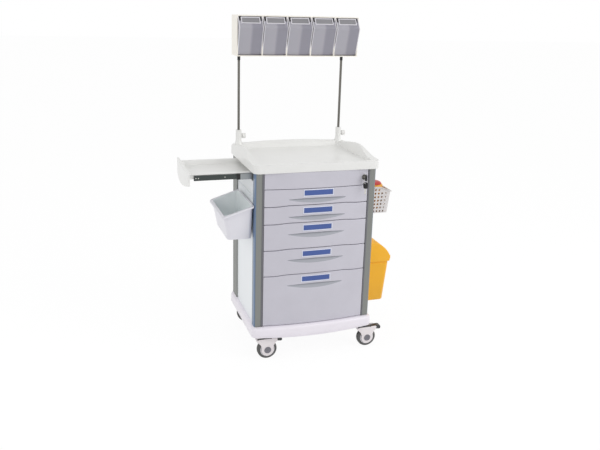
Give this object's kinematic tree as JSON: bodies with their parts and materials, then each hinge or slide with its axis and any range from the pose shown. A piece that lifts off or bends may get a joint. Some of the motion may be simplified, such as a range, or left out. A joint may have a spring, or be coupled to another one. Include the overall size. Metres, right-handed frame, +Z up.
{
  "type": "anaesthesia trolley",
  "caption": "Anaesthesia trolley on castors with bowed drawers, guarded worktop, pull-out side shelf, raised rack of tip-out bins and side-hung tub, basket and lidded waste bin.",
  "frame": {"origin": "bottom centre of the whole object at rest, with its side shelf pulled out, on the floor", "axes": "+Z up, -Y towards the drawer fronts, +X to the right seen from the front"},
  "size_m": [1.031, 0.498, 1.57],
  "materials": {
    "abs_white": "moulded ABS, satin",
    "panel_white": "powder coat, satin",
    "front_lilac_grey": "moulded ABS, satin",
    "anodised_post": "anodised, satin",
    "blue_strip": "extruded strip",
    "slide_steel": "black zinc",
    "lock_nickel": "nickel plated",
    "clamp_white": "moulded",
    "zinc_steel": "zinc plated",
    "bracket_steel": "powder coat",
    "key_black": "moulded key heads",
    "rack_white": "moulded ABS",
    "pole_steel": "polished stainless tube",
    "bin_clear": "smoky clear styrene",
    "castor_white": "moulded nylon",
    "tyre_grey": "grey rubber",
    "pedal_dark": "moulded nylon",
    "label_blue": "printed card in a clear holder",
    "tub_white": "moulded polypropylene",
    "sharps_amber": "moulded polypropylene",
    "sharps_red": "moulded polypropylene",
    "waste_yellow": "moulded polypropylene"
  },
  "bodies": {
    "cart": {"base": "abs_white", "corner_posts": "anodised_post", "post_inlays": "blue_strip", "side_panel_left": "panel_white", "side_panel_right": "panel_white", "back_panel": "panel_white", "worktop": "abs_white", "fascia": "front_lilac_grey", "drawer_guides": "slide_steel", "lock_body": "lock_nickel", "pole_clamps": "clamp_white", "castor_stems": "zinc_steel", "hanging_brackets": "bracket_steel"},
    "drawer_1": {"drawer_1_front": "front_lilac_grey", "drawer_1_box": "abs_white", "drawer_1_label": "label_blue"},
    "drawer_2": {"drawer_2_front": "front_lilac_grey", "drawer_2_box": "abs_white", "drawer_2_label": "label_blue"},
    "drawer_3": {"drawer_3_front": "front_lilac_grey", "drawer_3_box": "abs_white", "drawer_3_label": "label_blue"},
    "drawer_4": {"drawer_4_front": "front_lilac_grey", "drawer_4_box": "abs_white", "drawer_4_label": "label_blue"},
    "drawer_5": {"drawer_5_front": "front_lilac_grey", "drawer_5_box": "abs_white", "drawer_5_label": "label_blue"},
    "key": {"key": "key_black"},
    "spare_key": {"spare_key": "key_black"},
    "shelf": {"shelf_tray": "abs_white", "shelf_end_panel": "abs_white", "shelf_slides_inner": "slide_steel"},
    "shelf_middle": {"shelf_slides_middle": "slide_steel"},
    "rack": {"rack_housing": "rack_white", "rack_poles": "pole_steel"},
    "tip_bin_1": {"tip_bin_1": "bin_clear"},
    "tip_bin_2": {"tip_bin_2": "bin_clear"},
    "tip_bin_3": {"tip_bin_3": "bin_clear"},
    "tip_bin_4": {"tip_bin_4": "bin_clear"},
    "tip_bin_5": {"tip_bin_5": "bin_clear"},
    "knob_left": {"clamp_knob_left": "clamp_white"},
    "knob_right": {"clamp_knob_right": "clamp_white"},
    "castor_front_left": {"fork_front_left": "castor_white"},
    "wheel_front_left": {"wheel_front_left": "tyre_grey"},
    "pedal_front_left": {"pedal_front_left": "pedal_dark"},
    "castor_front_right": {"fork_front_right": "castor_white"},
    "wheel_front_right": {"wheel_front_right": "tyre_grey"},
    "pedal_front_right": {"pedal_front_right": "pedal_dark"},
    "castor_rear_left": {"fork_rear_left": "castor_white"},
    "wheel_rear_left": {"wheel_rear_left": "tyre_grey"},
    "castor_rear_right": {"fork_rear_right": "castor_white"},
    "wheel_rear_right": {"wheel_rear_right": "tyre_grey"},
    "side_tub": {"side_tub": "tub_white"},
    "basket": {"basket": "tub_white"},
    "sharps": {"sharps_body": "sharps_amber", "sharps_ring": "sharps_amber"},
    "sharps_cap": {"sharps_cap": "sharps_red"},
    "waste_bin": {"waste_bin": "waste_yellow"},
    "waste_lid": {"waste_lid": "waste_yellow"}
  },
  "joints": [
    {"name": "drawer_1_slide", "type": "slide", "parent": "cart", "child": "drawer_1", "axis": [0, -1, 0], "range_m": [0, 0.34]},
    {"name": "drawer_2_slide", "type": "slide", "parent": "cart", "child": "drawer_2", "axis": [0, -1, 0], "range_m": [0, 0.34]},
    {"name": "drawer_3_slide", "type": "slide", "parent": "cart", "child": "drawer_3", "axis": [0, -1, 0], "range_m": [0, 0.34]},
    {"name": "drawer_4_slide", "type": "slide", "parent": "cart", "child": "drawer_4", "axis": [0, -1, 0], "range_m": [0, 0.34]},
    {"name": "drawer_5_slide", "type": "slide", "parent": "cart", "child": "drawer_5", "axis": [0, -1, 0], "range_m": [0, 0.34]},
    {"name": "shelf_slide", "type": "slide", "parent": "cart", "child": "shelf", "axis": [1, 0, 0], "range_m": [0, 0.268]},
    {"name": "shelf_middle_slide", "type": "slide", "parent": "cart", "child": "shelf_middle", "axis": [1, 0, 0], "range_m": [0, 0.134]},
    {"name": "key_turn", "type": "hinge", "parent": "cart", "child": "key", "pos_m": [0.299, -0.22665, 0.8685], "axis": [0, 1, 0], "range_deg": [0, 90]},
    {"name": "spare_key_swing", "type": "hinge", "parent": "key", "child": "spare_key", "pos_m": [0.299, -0.23765, 0.8595], "axis": [1, 0, 0], "range_deg": [-35, 5]},
    {"name": "rack_height", "type": "slide", "parent": "cart", "child": "rack", "axis": [0, 0, 1], "range_m": [-0.25, 0.12]},
    {"name": "tip_bin_1_hinge", "type": "hinge", "parent": "rack", "child": "tip_bin_1", "pos_m": [0.072, 0.129, 1.3998], "axis": [1, 0, 0], "range_deg": [0, 45]},
    {"name": "tip_bin_2_hinge", "type": "hinge", "parent": "rack", "child": "tip_bin_2", "pos_m": [0.072, 0.129, 1.3998], "axis": [1, 0, 0], "range_deg": [0, 45]},
    {"name": "tip_bin_3_hinge", "type": "hinge", "parent": "rack", "child": "tip_bin_3", "pos_m": [0.072, 0.129, 1.3998], "axis": [1, 0, 0], "range_deg": [0, 45]},
    {"name": "tip_bin_4_hinge", "type": "hinge", "parent": "rack", "child": "tip_bin_4", "pos_m": [0.072, 0.129, 1.3998], "axis": [1, 0, 0], "range_deg": [0, 45]},
    {"name": "tip_bin_5_hinge", "type": "hinge", "parent": "rack", "child": "tip_bin_5", "pos_m": [0.072, 0.129, 1.3998], "axis": [1, 0, 0], "range_deg": [0, 45]},
    {"name": "knob_left_turn", "type": "hinge", "parent": "cart", "child": "knob_left", "pos_m": [-0.19, 0.228, 0.994], "axis": [1, 0, 0], "range_deg": [-180, 180]},
    {"name": "knob_right_turn", "type": "hinge", "parent": "cart", "child": "knob_right", "pos_m": [0.334, 0.228, 0.994], "axis": [1, 0, 0], "range_deg": [-180, 180]},
    {"name": "swivel_front_left", "type": "hinge", "parent": "cart", "child": "castor_front_left", "pos_m": [-0.183, -0.201, 0.0475], "axis": [0, 0, 1], "continuous": true},
    {"name": "roll_front_left", "type": "hinge", "parent": "castor_front_left", "child": "wheel_front_left", "pos_m": [-0.15, -0.201, 0.0475], "axis": [0, 1, 0], "continuous": true},
    {"name": "brake_front_left", "type": "hinge", "parent": "castor_front_left", "child": "pedal_front_left", "pos_m": [-0.116, -0.201, 0.0955], "axis": [0, 1, 0], "range_deg": [0, 12]},
    {"name": "swivel_front_right", "type": "hinge", "parent": "cart", "child": "castor_front_right", "pos_m": [0.327, -0.201, 0.0475], "axis": [0, 0, 1], "continuous": true},
    {"name": "roll_front_right", "type": "hinge", "parent": "castor_front_right", "child": "wheel_front_right", "pos_m": [0.36, -0.201, 0.0475], "axis": [0, 1, 0], "continuous": true},
    {"name": "brake_front_right", "type": "hinge", "parent": "castor_front_right", "child": "pedal_front_right", "pos_m": [0.394, -0.201, 0.0955], "axis": [0, 1, 0], "range_deg": [0, 12]},
    {"name": "swivel_rear_left", "type": "hinge", "parent": "cart", "child": "castor_rear_left", "pos_m": [-0.183, 0.219, 0.0475], "axis": [0, 0, 1], "continuous": true},
    {"name": "roll_rear_left", "type": "hinge", "parent": "castor_rear_left", "child": "wheel_rear_left", "pos_m": [-0.15, 0.219, 0.0475], "axis": [0, 1, 0], "continuous": true},
    {"name": "swivel_rear_right", "type": "hinge", "parent": "cart", "child": "castor_rear_right", "pos_m": [0.327, 0.219, 0.0475], "axis": [0, 0, 1], "continuous": true},
    {"name": "roll_rear_right", "type": "hinge", "parent": "castor_rear_right", "child": "wheel_rear_right", "pos_m": [0.36, 0.219, 0.0475], "axis": [0, 1, 0], "continuous": true},
    {"name": "side_tub_lift", "type": "slide", "parent": "cart", "child": "side_tub", "axis": [0, 0, 1], "range_m": [0, 0.04]},
    {"name": "basket_lift", "type": "slide", "parent": "cart", "child": "basket", "axis": [0, 0, 1], "range_m": [0, 0.04]},
    {"name": "sharps_lift", "type": "slide", "parent": "basket", "child": "sharps", "axis": [0, 0, 1], "range_m": [0, 0.12]},
    {"name": "sharps_cap_turn", "type": "hinge", "parent": "sharps", "child": "sharps_cap", "pos_m": [0.427, -0.031, 0.78], "axis": [0, 0, 1], "range_deg": [0, 90]},
    {"name": "waste_bin_lift", "type": "slide", "parent": "cart", "child": "waste_bin", "axis": [0, 0, 1], "range_m": [0, 0.04]},
    {"name": "waste_lid_hinge", "type": "hinge", "parent": "waste_bin", "child": "waste_lid", "pos_m": [0.376, 0.009, 0.51], "axis": [0, -1, 0], "range_deg": [0, 65]}
  ],
  "couplings": [
    {"joint": "shelf_middle_slide", "follows": "shelf_slide", "ratio": 0.5}
  ]
}
